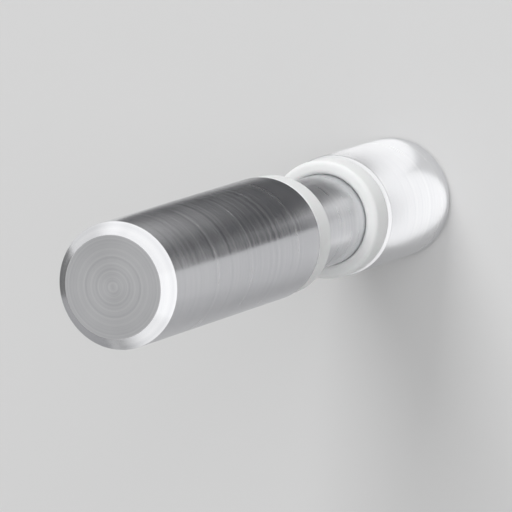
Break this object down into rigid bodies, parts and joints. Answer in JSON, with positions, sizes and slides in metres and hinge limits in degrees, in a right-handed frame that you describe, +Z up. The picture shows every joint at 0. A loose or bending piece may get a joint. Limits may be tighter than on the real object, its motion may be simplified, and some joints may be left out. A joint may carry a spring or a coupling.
{
  "type": "wine bottle wall peg",
  "caption": "Turned aluminium peg that screws into a wall and holds one side of a lying bottle, with a chamfered nose and soft clear rings on its waist.",
  "frame": {"origin": "centre of the peg's rear face, in the plane of the wall it stands on", "axes": "-Y along the peg's axis, out of the wall to the nose; +Y along the wall screw, into the wall; +Z up"},
  "size_m": [0.0126, 0.102, 0.0126],
  "materials": {
    "peg_metal": "satin turned barrels with a bright machined nose chamfer",
    "soft_ring": "clear, slightly milky silicone",
    "screw_steel": "bright zinc plate"
  },
  "bodies": {
    "root": {"peg": "peg_metal", "ring_front": "soft_ring", "ring_rear": "soft_ring", "wall_screw": "screw_steel"}
  },
  "joints": []
}
